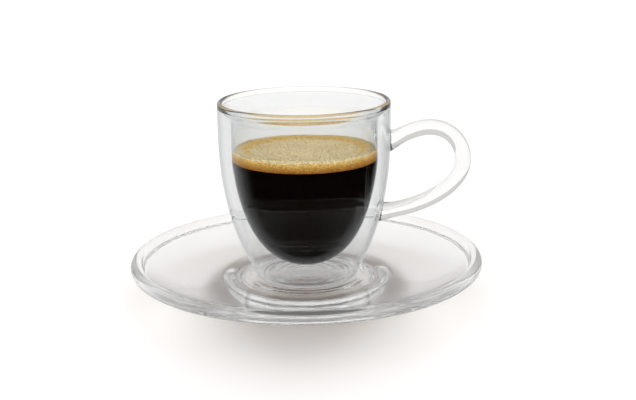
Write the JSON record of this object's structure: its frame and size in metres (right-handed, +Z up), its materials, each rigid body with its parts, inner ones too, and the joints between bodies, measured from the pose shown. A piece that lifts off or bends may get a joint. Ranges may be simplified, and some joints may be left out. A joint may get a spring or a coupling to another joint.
{
  "type": "espresso in a glass cup with saucer",
  "caption": "Espresso under a layer of crema in a clear double-walled glass cup with a rod handle, standing on a round clear glass saucer.",
  "frame": {"origin": "centre of the saucer's foot, on the table, on the axis of cup and saucer", "axes": "+Z up along the axis of the cup, +X towards the handle"},
  "size_m": [0.1294, 0.1294, 0.0708],
  "materials": {
    "saucer_glass": "clear polished glass",
    "cup_glass": "clear polished glass",
    "coffee": "dark, wet and glossy",
    "foam": "fine matt foam"
  },
  "bodies": {
    "root": {"saucer": "saucer_glass", "cup": "cup_glass", "espresso": "coffee", "crema": "foam"}
  },
  "joints": []
}
